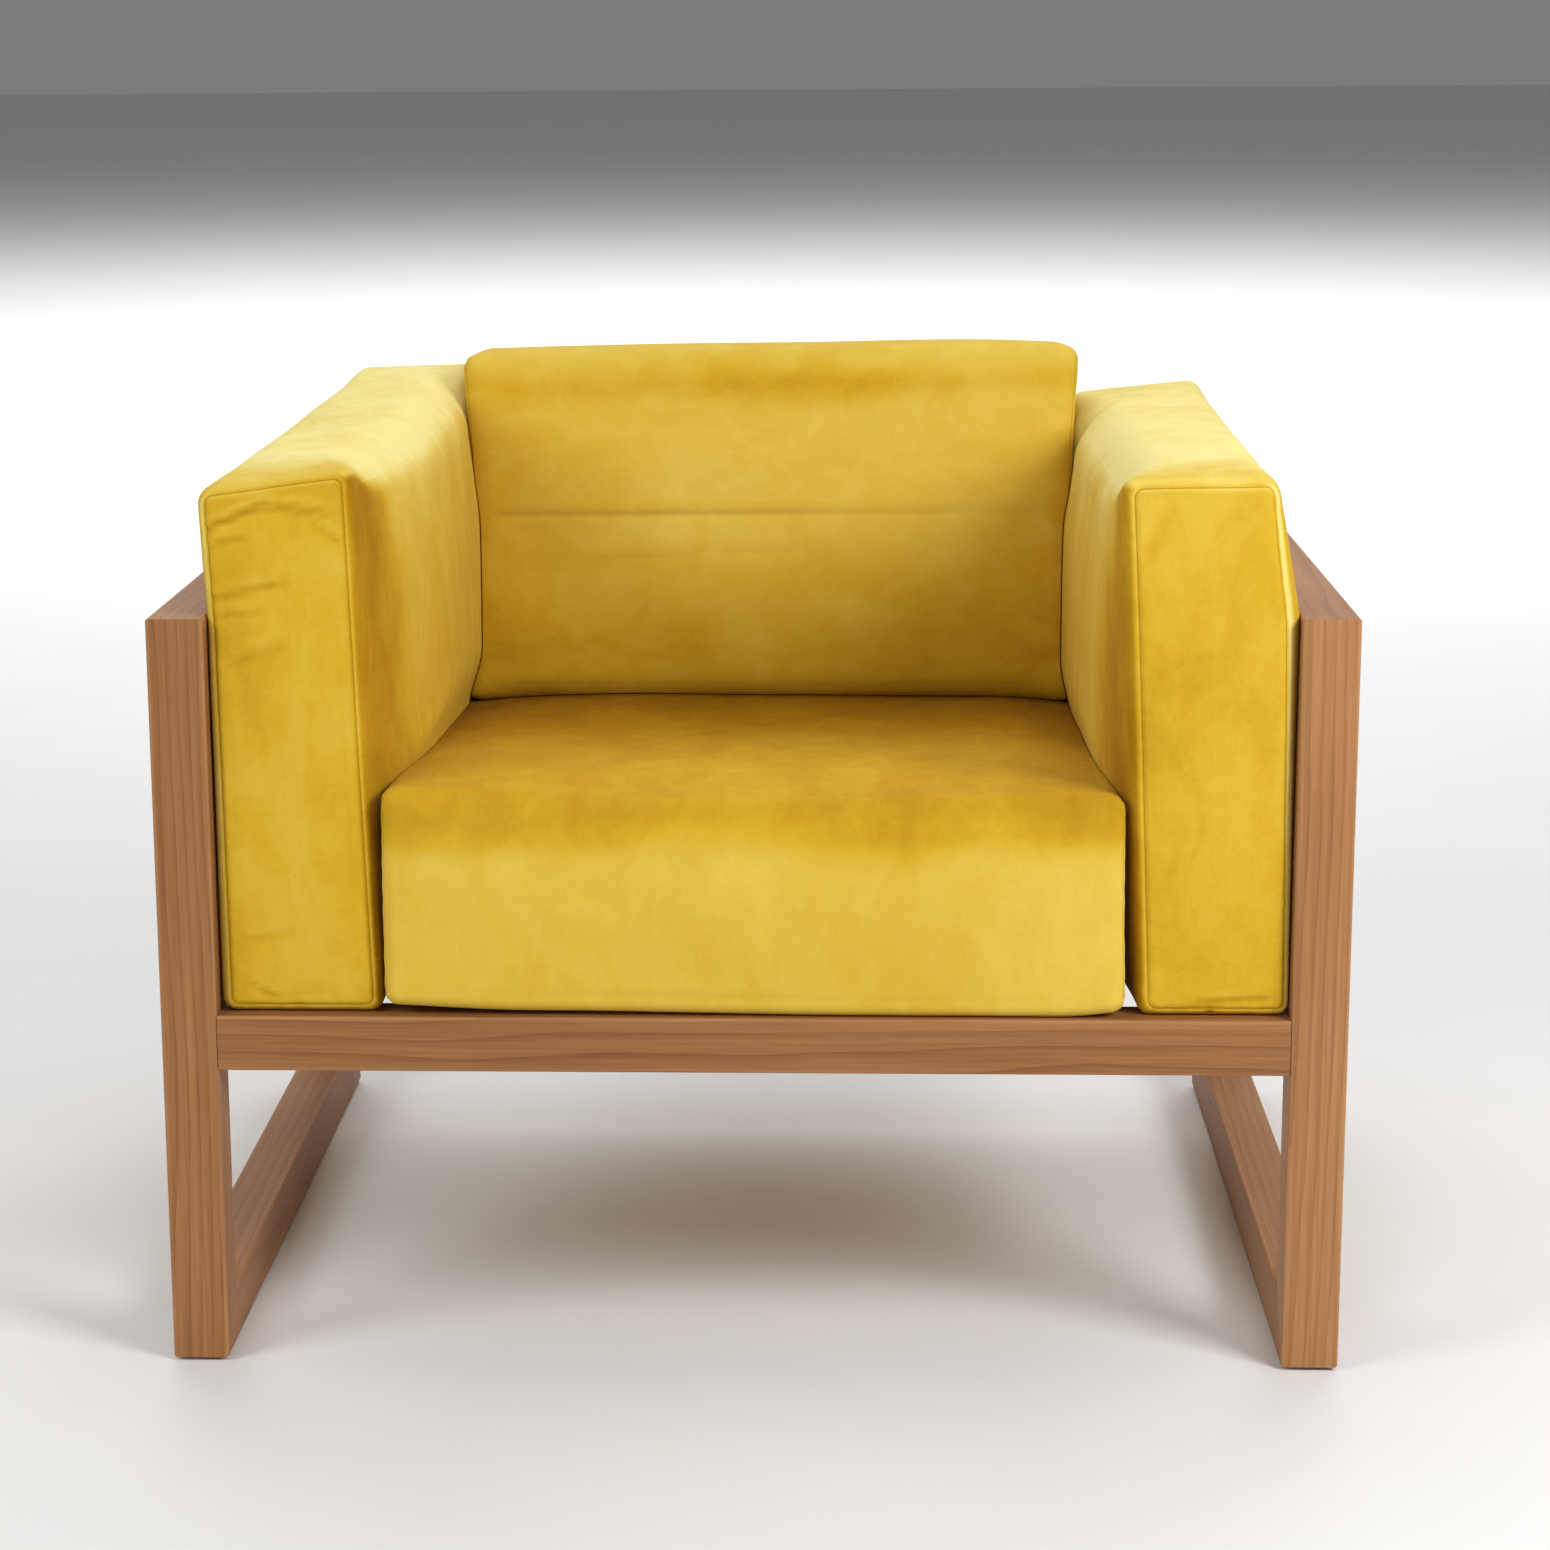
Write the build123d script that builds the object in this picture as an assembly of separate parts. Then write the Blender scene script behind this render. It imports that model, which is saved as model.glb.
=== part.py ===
from build123d import *

import math
import os

# Lounge armchair: two mitred hardwood side loops joined by rails, a slatted seat and back, and
# four loose box cushions in zipped covers. Millimetres, +Z up, the sitter faces -Y.
# The origin is on the floor, under the middle of the frame.

# ---- Frame ----
WIDTH = 940.0            # over both side loops
DEPTH = 800.0            # of a side loop
LOOP_HEIGHT = 607.0      # of a side loop, without its glides
SECTION = 45.0           # square section of posts, arm rails and cross rails
RUNNER_HEIGHT = 50.0     # bottom member of a side loop
RAIL_CLEARANCE = 242.5   # from the underside of a side loop to the underside of a seat rail
ARRIS = 2.5              # rounding of the long wooden edges

# ---- Glides ----
GLIDE_THICKNESS = 3.0
GLIDE_RADIUS = 11.0
GLIDE_PIN_RADIUS = 1.5
GLIDE_PIN_LENGTH = 16.0
GLIDE_INSET = 70.0       # from the end of a runner to the middle of a glide

# ---- Hidden joinery ----
FIT = 0.1                # glue or sliding allowance round every hidden piece
TENON_THICKNESS = 8.0
TENON_LENGTH = 36.0
TENON_WIDTH = 16.0
TENON_OUTER_COVER = 5.5  # wood left between a loose tenon and the outer face of the loop
DOWEL_RADIUS = 5.0
DOWEL_LENGTH = 40.0
DOWEL_OFFSET = 10.0      # of each dowel from the middle of the rail's end
BACK_SLAT_TENON = 12.0   # how far a back slat enters each rail

# ---- Slats and cleats ----
SLAT_WIDTH = 55.0
SLAT_THICKNESS = 20.0
SLAT_END_GAP = 0.5
INNER_SLAT_PITCH = 125.0
INNER_SLAT_COUNT = 5     # under the seat cushion
OUTER_SLAT_X = 392.0     # the two slats that carry the arm cushions
CLEAT_DEPTH = 30.0
CLEAT_END_GAP = 1.0
BACK_SLAT_WIDTH = 60.0
BACK_SLAT_THICKNESS = 15.0
BACK_SLAT_PITCH = 120.0
BACK_SLAT_COUNT = 5
CLEAT_SCREW_X = (60.0, 187.0, 320.0)
CLEAT_SCREW_LENGTH = 50.0
SLAT_SCREW_LENGTH = 34.0
SCREW_RADIUS = 2.25
SCREW_HEAD_RADIUS = 4.5
SCREW_HEAD_DEPTH = 3.0
SCREW_TIP = 6.0

# ---- Cushions ----
CLEAR = 0.3              # between two pieces that rest on each other
CLOTH = 1.5              # cover cloth with its lining
FOAM_GAP = 0.5           # between cover and foam
SEAT_HALF_WIDTH = 291.0
SEAT_FRONT_HEIGHT = 176.0
SEAT_RAKE = 3.0          # degrees, the seat top falls towards the back
SEAT_FRONT_Y = 1.0       # behind the front of the frame
SEAT_REAR_Y = 54.0       # ahead of the back of the frame
ARM_WIDTH = 122.0
ARM_HEIGHT = 434.0
ARM_POST_GAP = 5.5
ARM_FRONT_Y = 12.0
ARM_REAR_Y = 50.0
BACK_HALF_WIDTH = 287.0
BACK_HEIGHT = 325.0
BACK_THICKNESS = 150.0
BACK_TOP_REAR_Y = 50.0
SEAT_EDGE = 26.0         # edge roundings
ARM_EDGE = 12.0
BACK_EDGE = 28.0

# ---- Zips ----
TAPE_WIDTH = 14.0
COIL_WIDTH = 4.0
COIL_HEIGHT = 0.8
SEAT_ZIP_LENGTH = 480.0
BACK_ZIP_LENGTH = 480.0
ARM_ZIP_LENGTH = 660.0
ARM_ZIP_X = 350.0
BACK_ZIP_HEIGHT = 60.0   # above the bottom of the back cushion
ZIP_STOP = 20.0          # from the end of a zip to the middle of its closed slider
SLIDER_LENGTH = 12.0
SLIDER_WIDTH = 9.0
SLIDER_HEIGHT = 3.2
SLIDER_CORNER = 2.0
LUG_RADIUS = 1.2
LUG_CAP_RADIUS = 2.3
LUG_CAP_THICKNESS = 0.6
PULL_LENGTH = 26.0
PULL_WIDTH = 6.0
PULL_THICKNESS = 1.2

# ---- Derived places ----
HALF_W = WIDTH / 2
HALF_D = DEPTH / 2
INNER_X = HALF_W - SECTION
BASE_Z = GLIDE_THICKNESS
TOP_Z = BASE_Z + LOOP_HEIGHT
RAIL_BOTTOM = BASE_Z + RAIL_CLEARANCE
RAIL_TOP = RAIL_BOTTOM + SECTION
SLAT_BOTTOM = RAIL_TOP - SLAT_THICKNESS
CUSHION_Z = RAIL_TOP + CLEAR
SEAT_FRONT = -HALF_D + SEAT_FRONT_Y
SEAT_REAR = HALF_D - SEAT_REAR_Y
SEAT_FRONT_TOP = CUSHION_Z + SEAT_FRONT_HEIGHT
RAKE = math.radians(SEAT_RAKE)
SIDES = {"left": -1, "right": 1}

parts = {}


def block(x0, x1, y0, y1, z0, z1):
    """A box between two opposite corners."""
    size = Box(x1 - x0, y1 - y0, z1 - z0)
    return Pos((x0 + x1) / 2, (y0 + y1) / 2, (z0 + z1) / 2) * size


def eased(shape, axis, radius=ARRIS):
    """The shape with its long edges along one axis rounded."""
    return fillet(shape.edges().filter_by(axis), radius)


def side_profile(points, x0, x1):
    """A closed outline in the Y-Z plane, extruded between two X planes."""
    outline = make_face(Polyline([(0, y, z) for y, z in points], close=True))
    return Pos(x0, 0, 0) * extrude(outline, x1 - x0, dir=(1, 0, 0))


# ---- Side loops ----
def loop_corners():
    """The four mitres of a loop: the outer and the inner end of each, as (y, z)."""
    low, high = BASE_Z, TOP_Z
    runner_top, rail_low = BASE_Z + RUNNER_HEIGHT, TOP_Z - SECTION
    front, rear = -HALF_D, HALF_D
    return {
        "front_low": ((front, low), (front + SECTION, runner_top)),
        "rear_low": ((rear, low), (rear - SECTION, runner_top)),
        "rear_high": ((rear, high), (rear - SECTION, rail_low)),
        "front_high": ((front, high), (front + SECTION, rail_low)),
    }


def loose_tenon(corner, side, grow=0.0):
    """The flat loose tenon that crosses a mitre at right angles, inside the wood."""
    (y0, z0), (y1, z1) = corner
    x = side * (HALF_W - TENON_OUTER_COVER - TENON_WIDTH / 2)
    tilt = math.degrees(math.atan2(z1 - z0, y1 - y0))
    size = Box(TENON_WIDTH + grow, TENON_THICKNESS + grow, TENON_LENGTH + grow)
    return Pos(x, (y0 + y1) / 2, (z0 + z1) / 2) * Rot(tilt, 0, 0) * size


def loop_member(side, first, second, axis):
    """One member of a loop, mitred at both ends."""
    corners = loop_corners()
    (outer_a, inner_a), (outer_b, inner_b) = corners[first], corners[second]
    x0, x1 = sorted((side * INNER_X, side * HALF_W))
    wood = eased(side_profile([outer_a, inner_a, inner_b, outer_b], x0, x1), axis)
    for name in (first, second):
        wood -= loose_tenon(corners[name], side, 2 * FIT)
    return wood


def glide(side, end, grow=0.0):
    """A nylon glide: a disc with a pin driven up into the runner."""
    x, y = side * (HALF_W - SECTION / 2), end * (HALF_D - GLIDE_INSET)
    pin_height = GLIDE_PIN_LENGTH + grow
    disc = Pos(x, y, GLIDE_THICKNESS / 2) * Cylinder(GLIDE_RADIUS, GLIDE_THICKNESS)
    pin = Cylinder(GLIDE_PIN_RADIUS + grow / 2, pin_height)
    return disc + Pos(x, y, BASE_Z + pin_height / 2) * pin


def side_loops():
    """Posts, arm rails and runners of both sides, with their tenons and glides."""
    members = {
        "front_post": ("front_low", "front_high", Axis.Z),
        "rear_post": ("rear_low", "rear_high", Axis.Z),
        "arm_rail": ("front_high", "rear_high", Axis.Y),
        "runner": ("front_low", "rear_low", Axis.Y),
    }
    for side_name, side in SIDES.items():
        for member, (first, second, axis) in members.items():
            parts[f"{side_name}_{member}"] = loop_member(side, first, second, axis)
        for end in (-1, 1):
            parts[f"{side_name}_runner"] -= glide(side, end, 2 * FIT)
    parts["corner_tenons"] = Compound(
        [loose_tenon(c, side).solid() for side in SIDES.values() for c in loop_corners().values()]
    )
    parts["glides"] = Compound(
        [glide(side, end).solid() for side in SIDES.values() for end in (-1, 1)]
    )


# ---- Cross rails ----
def dowel(side, y, z, grow=0.0):
    """A dowel along X, half in a cross rail and half in the side loop."""
    pin = Cylinder(DOWEL_RADIUS + grow / 2, DOWEL_LENGTH + grow)
    return Pos(side * INNER_X, y, z) * Rot(0, 90, 0) * pin


def dowel_places():
    """The two dowel centres at each end of each cross rail, as (y, z)."""
    front_y, rear_y = -HALF_D + SECTION / 2, HALF_D - SECTION / 2
    seat_z, back_z = RAIL_BOTTOM + SECTION / 2, TOP_Z - SECTION / 2
    step = DOWEL_OFFSET
    return {
        "front_seat_rail": [(front_y, seat_z - step), (front_y, seat_z + step)],
        "rear_seat_rail": [(rear_y, seat_z - step), (rear_y, seat_z + step)],
        "back_top_rail": [(rear_y - step, back_z + step), (rear_y + step, back_z - step)],
    }


def cross_rails():
    """The two seat rails, the back rail and the dowels that hold them between the loops."""
    front, rear = (-HALF_D, -HALF_D + SECTION), (HALF_D - SECTION, HALF_D)
    places = {
        "front_seat_rail": (front, RAIL_BOTTOM),
        "rear_seat_rail": (rear, RAIL_BOTTOM),
        "back_top_rail": (rear, TOP_Z - SECTION),
    }
    joined = {
        "front_seat_rail": ("front_post",),
        "rear_seat_rail": ("rear_post",),
        "back_top_rail": ("rear_post", "arm_rail"),
    }
    dowels = []
    for rail, ((y0, y1), z0) in places.items():
        wood = eased(block(-INNER_X, INNER_X, y0, y1, z0, z0 + SECTION), Axis.X)
        for side_name, side in SIDES.items():
            for y, z in dowel_places()[rail]:
                wood -= dowel(side, y, z, 2 * FIT)
                for member in joined[rail]:
                    parts[f"{side_name}_{member}"] -= dowel(side, y, z, 2 * FIT)
                dowels.append(dowel(side, y, z).solid())
        parts[rail] = wood
    parts["rail_dowels"] = Compound(dowels)


# ---- Slats ----
def wood_screw(length, grow=0.0):
    """A countersunk screw pointing down, with the middle of its flat head at the origin."""
    shank = SCREW_RADIUS + grow / 2
    head = SCREW_HEAD_RADIUS + grow / 2
    outline = Polyline(
        (0, 0),
        (head, 0),
        (shank, -SCREW_HEAD_DEPTH),
        (shank, -length + SCREW_TIP),
        (0, -length - grow / 2),
        close=True,
    )
    return revolve(Plane.XZ * make_face(outline), Axis.Z)


def screw_up(places, length, targets, name):
    """One screw at each place, with its hole cut in the target nodes."""
    screws = []
    for place in places:
        for target in targets(place):
            parts[target] -= place * wood_screw(length, 2 * FIT)
        screws.append((place * wood_screw(length)).solid())
    parts[name] = Compound(screws)


def spread(count, pitch):
    """Evenly spaced places on both sides of 0."""
    return [pitch * (number - (count - 1) / 2) for number in range(count)]


def seat_deck():
    """Front-to-back slats on two cleats that are screwed to the seat rails."""
    inner_y = HALF_D - SECTION
    cleat_x = INNER_X - CLEAT_END_GAP
    for name, end in (("front_cleat", -1), ("rear_cleat", 1)):
        y0, y1 = sorted((end * inner_y, end * (inner_y - CLEAT_DEPTH)))
        parts[name] = block(-cleat_x, cleat_x, y0, y1, RAIL_BOTTOM, SLAT_BOTTOM)
    reach = inner_y - SLAT_END_GAP
    slat_at = {}
    centres = [-OUTER_SLAT_X, *spread(INNER_SLAT_COUNT, INNER_SLAT_PITCH), OUTER_SLAT_X]
    for number, x in enumerate(centres, 1):
        slat_at[x] = f"seat_slat_{number}"
        wood = block(x - SLAT_WIDTH / 2, x + SLAT_WIDTH / 2, -reach, reach, SLAT_BOTTOM, RAIL_TOP)
        parts[slat_at[x]] = eased(wood, Axis.Y)

    cleat_z = (RAIL_BOTTOM + SLAT_BOTTOM) / 2
    head_y = inner_y - CLEAT_DEPTH
    sideways = [
        Pos(side * x, end * head_y, cleat_z) * Rot(end * 90, 0, 0)
        for end in (-1, 1) for side in (-1, 1) for x in CLEAT_SCREW_X
    ]
    ends = {-1: ("front_cleat", "front_seat_rail"), 1: ("rear_cleat", "rear_seat_rail")}

    def rail_targets(place):
        return ends[int(math.copysign(1, place.position.Y))]

    screw_up(sideways, CLEAT_SCREW_LENGTH, rail_targets, "cleat_screws")

    middle_y = inner_y - CLEAT_DEPTH / 2
    downward = [Pos(x, end * middle_y, RAIL_TOP) for end in (-1, 1) for x in slat_at]

    def slat_targets(place):
        return slat_at[place.position.X], rail_targets(place)[0]

    screw_up(downward, SLAT_SCREW_LENGTH, slat_targets, "slat_screws")


def back_slats():
    """Upright slats whose ends sit in mortises in the rear seat rail and the back rail."""
    y = HALF_D - SECTION / 2
    z0, z1 = RAIL_TOP - BACK_SLAT_TENON, TOP_Z - SECTION + BACK_SLAT_TENON
    half_w, half_t = BACK_SLAT_WIDTH / 2, BACK_SLAT_THICKNESS / 2
    for number, x in enumerate(spread(BACK_SLAT_COUNT, BACK_SLAT_PITCH), 1):
        slat = block(x - half_w, x + half_w, y - half_t, y + half_t, z0, z1)
        mortise = block(x - half_w - FIT, x + half_w + FIT, y - half_t - FIT, y + half_t + FIT,
                        z0 - FIT, z1 + FIT)
        for rail in ("rear_seat_rail", "back_top_rail"):
            parts[rail] -= mortise
        parts[f"back_slat_{number}"] = slat


# ---- Cushions ----
def soft_block(outline, half_width, edge, inset=0.0):
    """A box cushion: a side outline in Y-Z, extruded across X, shrunk by inset, all edges round."""
    face = make_face(Polyline([(0, y, z) for y, z in outline], close=True))
    if inset:
        face = offset(face, amount=-inset, kind=Kind.INTERSECTION)
    half = half_width - inset
    solid = Pos(-half, 0, 0) * extrude(face, 2 * half, dir=(1, 0, 0))
    return fillet(solid.edges(), edge - inset)


def zip_pieces(length):
    """A closed zip lying along X with its outer face at Z 0: its slot, tape, slider and pull."""
    slot = Pos(0, 0, -CLOTH / 2) * Box(length, TAPE_WIDTH, CLOTH)
    coil = Pos(0, 0, COIL_HEIGHT / 2) * Box(length, COIL_WIDTH, COIL_HEIGHT)
    tape = slot + coil
    x = length / 2 - ZIP_STOP
    body = Pos(x, 0, CLEAR + SLIDER_HEIGHT / 2) * Box(SLIDER_LENGTH, SLIDER_WIDTH, SLIDER_HEIGHT)
    body = fillet(body.edges().filter_by(Axis.Z), SLIDER_CORNER)
    channel_height = COIL_HEIGHT + 2 * CLEAR
    channel = Box(SLIDER_LENGTH, COIL_WIDTH + 2 * CLEAR, channel_height)
    body -= Pos(x, 0, channel_height / 2) * channel
    top = CLEAR + SLIDER_HEIGHT
    lug_height = PULL_THICKNESS + 2 * CLEAR
    lug = Pos(x, 0, top + lug_height / 2) * Cylinder(LUG_RADIUS, lug_height)
    cap_z = top + lug_height + LUG_CAP_THICKNESS / 2
    cap = Pos(x, 0, cap_z) * Cylinder(LUG_CAP_RADIUS, LUG_CAP_THICKNESS)
    pull = SlotOverall(PULL_LENGTH, PULL_WIDTH) - Pos(PULL_LENGTH / 2 - PULL_WIDTH / 2, 0) * Circle(
        LUG_RADIUS + CLEAR
    )
    reach = PULL_LENGTH / 2 - PULL_WIDTH / 2
    pull = Pos(x - reach, 0, top + CLEAR) * extrude(pull, PULL_THICKNESS)
    return slot, tape, body + lug + cap, pull


def zipped_cushion(name, outline, half_width, edge, place, zip_place, zip_length):
    """Cover, foam core and zip of one cushion, moved to its place."""
    slot, tape, slider, pull = (zip_place * piece for piece in zip_pieces(zip_length))
    cover = soft_block(outline, half_width, edge)
    cover -= soft_block(outline, half_width, edge, CLOTH)
    parts[f"{name}_cover"] = place * (cover - slot)
    parts[f"{name}_foam"] = place * soft_block(outline, half_width, edge, CLOTH + FOAM_GAP)
    parts[f"{name}_zip"] = place * tape
    parts[f"{name}_zip_slider"] = place * slider
    parts[f"{name}_zip_pull"] = place * pull


def seat_top(y):
    """Height of the raked seat top at one Y."""
    return SEAT_FRONT_TOP - (y - SEAT_FRONT) * math.tan(RAKE)


def cushions():
    """The seat, back and arm cushions."""
    seat_outline = [
        (SEAT_FRONT, CUSHION_Z),
        (SEAT_REAR, CUSHION_Z),
        (SEAT_REAR, seat_top(SEAT_REAR)),
        (SEAT_FRONT, SEAT_FRONT_TOP),
    ]
    seat_zip_z = (CUSHION_Z + seat_top(SEAT_REAR)) / 2
    seat_zip = Pos(0, SEAT_REAR, seat_zip_z) * Rot(-90, 0, 0)
    zipped_cushion("seat_cushion", seat_outline, SEAT_HALF_WIDTH, SEAT_EDGE,
                   Pos(0, 0, 0), seat_zip, SEAT_ZIP_LENGTH)

    # The back cushion stands square on the raked seat top, so it leans back by the same angle.
    foot_y = HALF_D - BACK_TOP_REAR_Y - BACK_HEIGHT * math.sin(RAKE)
    back_outline = [(0, 0), (-BACK_THICKNESS, 0), (-BACK_THICKNESS, BACK_HEIGHT), (0, BACK_HEIGHT)]
    back_place = Pos(0, foot_y, seat_top(foot_y) + CLEAR) * Rot(-SEAT_RAKE, 0, 0)
    back_zip = Pos(0, 0, BACK_ZIP_HEIGHT) * Rot(-90, 0, 0)
    zipped_cushion("back_cushion", back_outline, BACK_HALF_WIDTH, BACK_EDGE,
                   back_place, back_zip, BACK_ZIP_LENGTH)

    front, rear = -HALF_D + ARM_FRONT_Y, HALF_D - ARM_REAR_Y
    top = CUSHION_Z + ARM_HEIGHT
    arm_outline = [(front, CUSHION_Z), (rear, CUSHION_Z), (rear, top), (front, top)]
    arm_x = INNER_X - ARM_POST_GAP - ARM_WIDTH / 2
    for side_name, side in SIDES.items():
        zip_x = side * (ARM_ZIP_X - arm_x)
        arm_zip = Pos(zip_x, 0, CUSHION_Z) * Rot(180, 0, 90)
        zipped_cushion(f"{side_name}_arm_cushion", arm_outline, ARM_WIDTH / 2, ARM_EDGE,
                       Pos(side * arm_x, 0, 0), arm_zip, ARM_ZIP_LENGTH)


side_loops()
cross_rails()
seat_deck()
back_slats()
cushions()

os.makedirs("parts", exist_ok=True)
for node, shape in parts.items():
    export_step(shape, f"parts/{node}.step")
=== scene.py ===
"""Looks of the lounge armchair: procedural hardwood, metal and zip tape on the CAD nodes, and four
velvet cushions with crowned panels, sewn seams, folds, nap marks and painted light and shade.
Metres, +Z up."""
import math

import bpy
import numpy as np
from mathutils.bvhtree import BVHTree
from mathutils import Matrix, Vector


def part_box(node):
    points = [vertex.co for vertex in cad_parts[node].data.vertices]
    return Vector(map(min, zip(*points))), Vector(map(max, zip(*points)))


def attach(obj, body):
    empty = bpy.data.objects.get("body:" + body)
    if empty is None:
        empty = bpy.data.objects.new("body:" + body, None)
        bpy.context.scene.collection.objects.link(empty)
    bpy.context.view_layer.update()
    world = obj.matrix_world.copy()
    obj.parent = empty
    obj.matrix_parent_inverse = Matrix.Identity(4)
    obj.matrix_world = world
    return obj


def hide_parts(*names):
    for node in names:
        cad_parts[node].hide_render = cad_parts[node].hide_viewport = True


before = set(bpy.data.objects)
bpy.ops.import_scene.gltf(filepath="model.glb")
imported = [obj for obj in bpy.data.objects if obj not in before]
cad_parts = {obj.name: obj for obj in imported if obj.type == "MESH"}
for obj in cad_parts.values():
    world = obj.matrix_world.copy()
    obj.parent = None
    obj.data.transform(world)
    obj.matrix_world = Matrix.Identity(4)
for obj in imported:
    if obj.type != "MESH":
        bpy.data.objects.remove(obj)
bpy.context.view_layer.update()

# ---- Camera ----
CAMERA_PLACE = (0.08328, -3.15975, 1.05608)
CAMERA_TURN = (77.361, 0.412, 2.566)     # degrees
CAMERA_LENS = 84.07                      # mm on a 36 mm sensor
CAMERA_SHIFT = (0.05332, 0.04099)

# ---- Places read from the frame ----
POST_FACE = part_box("right_front_post")[0][0]
RAIL_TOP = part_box("front_seat_rail")[1][2]
LOOP_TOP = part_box("right_arm_rail")[1][2]
REAR_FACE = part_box("rear_seat_rail")[0][1]
SEAT_RAKE = math.radians(3.0)            # slope of the seat top, and lean of the back cushion

# ---- Lamps: name, place, what it points at, size, power ----
CHAIR_MIDDLE = (0, 0, 0.45)
LAMPS = (
    ("key_right", (1.75, -1.75, 1.75), CHAIR_MIDDLE, 1.0, 48.0),
    ("fill_left", (-2.2, -1.9, 1.9), CHAIR_MIDDLE, 1.4, 34.0),
    ("front", (0.0, -4.2, 1.9), CHAIR_MIDDLE, 1.8, 22.0),
    ("overhead", (0.0, 0.8, 3.4), (0, 0.5, 0), 2.4, 22.0),
    ("far_floor", (0.0, 8.0, 6.0), (0, 9.0, 0), 9.0, 900.0),
)

# ---- Cushion making ----
SHOWN_MESH = (0.00125, 0.01875, 0.005)   # fine spacing, width of the fine zone, coarse spacing
TRIAL_MESH = (0.005, 0.020, 0.012)       # the same for the inflated trial cover
CLOTH = {"quality": 5, "mass": 0.4, "tension_stiffness": 40, "compression_stiffness": 40,
         "shear_stiffness": 8, "bending_stiffness": 1.5, "use_pressure": True,
         "uniform_pressure_force": 0.5}
CLOTH_FRAMES = 20
SWELL = 0.009                            # how far the furthest point of a cover may move
PULL_IN = 0.2                            # share kept of the simulation's pull on the cover's edges
SEAM_INSET = 0.0062                      # from an end panel's seam to the cushion's end
SEAM_WIDTH = 0.0014
SEAM_DEPTH = 0.0008
ROLL_PLACE = 0.0050                      # from a seam to the middle of the puffed cloth beside it
ROLL_WIDTH = 0.0034
ROLL_HEIGHT = 0.0003
GATHER_HEIGHT = 0.0004
GATHER_WIDTH = 0.014
ON_RAIL = 0.0003                         # from the front rail to a cushion's underside
OVER_RAIL = 0.005                        # from the arm rail's top to where a cushion leans over it
KEEP_CLEAR = 0.0005                      # between a cushion and the frame
PRESSED_GAP = 0.0010                     # between a cushion and the one it presses on
ABOVE_SEAT = 0.6                         # a height above the seat cushion
ZIP_PROUD = 0.0010                       # how far a zip stands out of a rear face


# ======== Node helpers ========
def add(tree, kind, inputs=None, **settings):
    """A shader node with its settings, and its inputs given as values or as other sockets."""
    node = tree.nodes.new(kind)
    for key, value in settings.items():
        setattr(node, key, value)
    for key, value in (inputs or {}).items():
        if isinstance(value, bpy.types.NodeSocket):
            tree.links.new(value, node.inputs[key])
        else:
            node.inputs[key].default_value = value
    return node


def math_node(tree, operation, a, b=0.0, c=0.0, clamp=False):
    """The output of a Math node."""
    inputs = {0: a, 1: b, 2: c}
    return add(tree, "ShaderNodeMath", inputs, operation=operation, use_clamp=clamp).outputs[0]


def ramp(tree, factor, stops):
    """The colour output of a colour ramp with (position, linear colour) stops."""
    node = add(tree, "ShaderNodeValToRGB", {"Fac": factor})
    elements = node.color_ramp.elements
    while len(elements) < len(stops):
        elements.new(0.5)
    for element, (position, colour) in zip(elements, stops):
        element.position = position
        element.color = (*colour, 1.0)
    return node.outputs["Color"]


def noise(tree, vector, scale, detail=2.0, roughness=0.5, distortion=0.0):
    """The 0 to 1 value of a noise texture."""
    inputs = {"Vector": vector, "Scale": scale, "Detail": detail, "Roughness": roughness,
              "Distortion": distortion}
    return add(tree, "ShaderNodeTexNoise", inputs).outputs["Fac"]


def scaled(tree, vector, scale, offset=(0.0, 0.0, 0.0)):
    """A vector moved and scaled axis by axis."""
    inputs = {"Vector": vector, "Location": offset, "Scale": scale}
    return add(tree, "ShaderNodeMapping", inputs).outputs["Vector"]


def new_material(name, **sockets):
    """An empty material with a Principled shader, and its uniform values."""
    material = bpy.data.materials.new(name)
    material.use_nodes = True
    tree = material.node_tree
    shader = tree.nodes["Principled BSDF"]
    for key, value in sockets.items():
        shader.inputs[key.replace("_", " ")].default_value = value
    return material, tree, shader


def mixed(tree, factor, a, b):
    """The colour output of a Mix node."""
    node = tree.nodes.new("ShaderNodeMix")
    node.data_type = "RGBA"
    for key, value in ((0, factor), (6, a), (7, b)):
        if isinstance(value, bpy.types.NodeSocket):
            tree.links.new(value, node.inputs[key])
        else:
            node.inputs[key].default_value = value if key == 0 else (*value, 1.0)
    return node.outputs[2]


def bumped(tree, shader, height, strength, distance):
    """Joins a height to the shader's normal."""
    inputs = {"Height": height, "Strength": strength, "Distance": distance}
    bump = add(tree, "ShaderNodeBump", inputs)
    tree.links.new(bump.outputs["Normal"], shader.inputs["Normal"])


# ======== Wood ========
WOOD_TONES = ((0.0, (0.120, 0.040, 0.010)), (0.36, (0.235, 0.094, 0.029)),
              (0.64, (0.355, 0.158, 0.055)), (1.0, (0.520, 0.270, 0.120)))
PALE_TONES = ((0.0, (0.40, 0.26, 0.14)), (0.5, (0.56, 0.40, 0.24)), (1.0, (0.68, 0.53, 0.35)))
# Tone shift per member: the right front post is lightened as painted light from the near right
# lamp; the front seat rail is darker.
MEMBER_TONE_AND_LIGHT = {"right_front_post": 0.13, "front_seat_rail": -0.07}
GRAIN_ORDER = {"X": (1, 2, 0), "Y": (0, 2, 1), "Z": (0, 1, 2)}   # two axes across, then along
MEMBER_AXES = {"post": "Z", "arm_rail": "Y", "runner": "Y", "seat_rail": "X", "top_rail": "X"}
RINGS_PER_METRE = 120.0
RING_SHARPNESS = 3.5
PITH_OFFSET = (0.028, 0.05)              # from the member's middle to the pith, least and most
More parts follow.
